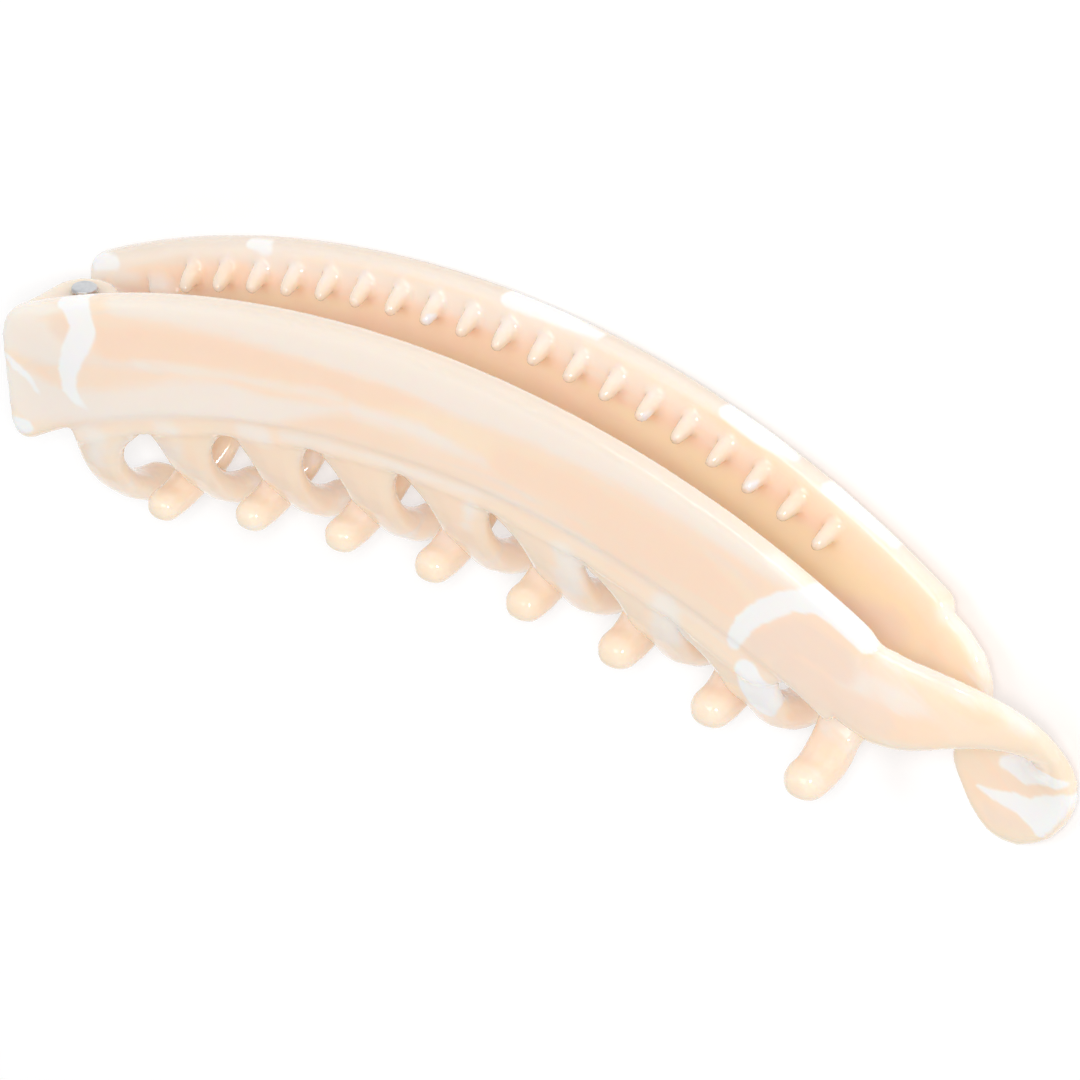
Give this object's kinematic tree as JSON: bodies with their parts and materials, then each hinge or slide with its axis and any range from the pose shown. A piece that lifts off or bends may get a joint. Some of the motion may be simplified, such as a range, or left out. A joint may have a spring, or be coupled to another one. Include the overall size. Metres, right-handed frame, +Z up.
{
  "type": "banana hair clip",
  "caption": "Bowed two-arm banana hair clip of marbled moulded plastic with interleaving curved teeth, a riveted hinge and a twisted hook clasp",
  "frame": {"origin": "middle of the foot of the bounding box, on the surface the clip lies on", "axes": "+X from the hinge to the hook along the clip, +Y from the teeth to the bowed back, +Z up from the catch arm that the clip lies on to the hook arm"},
  "size_m": [0.123, 0.0382, 0.0177],
  "materials": {
    "moulded_plastic_peach": "polished, slightly translucent, marbled peach and cream",
    "moulded_plastic_cream": "polished, slightly translucent, marbled cream, white and peach",
    "nickelled_steel": "bright nickel plate"
  },
  "bodies": {
    "catch_side": {"catch_arm": "moulded_plastic_peach"},
    "hook_side": {"hook_arm": "moulded_plastic_cream", "hinge_rivet": "nickelled_steel"}
  },
  "joints": [
    {"name": "hinge_swing", "type": "hinge", "parent": "catch_side", "child": "hook_side", "pos_m": [-0.05547, 0.0008, 0.00983], "axis": [0, -1, 0], "range_deg": [0, 75]}
  ]
}
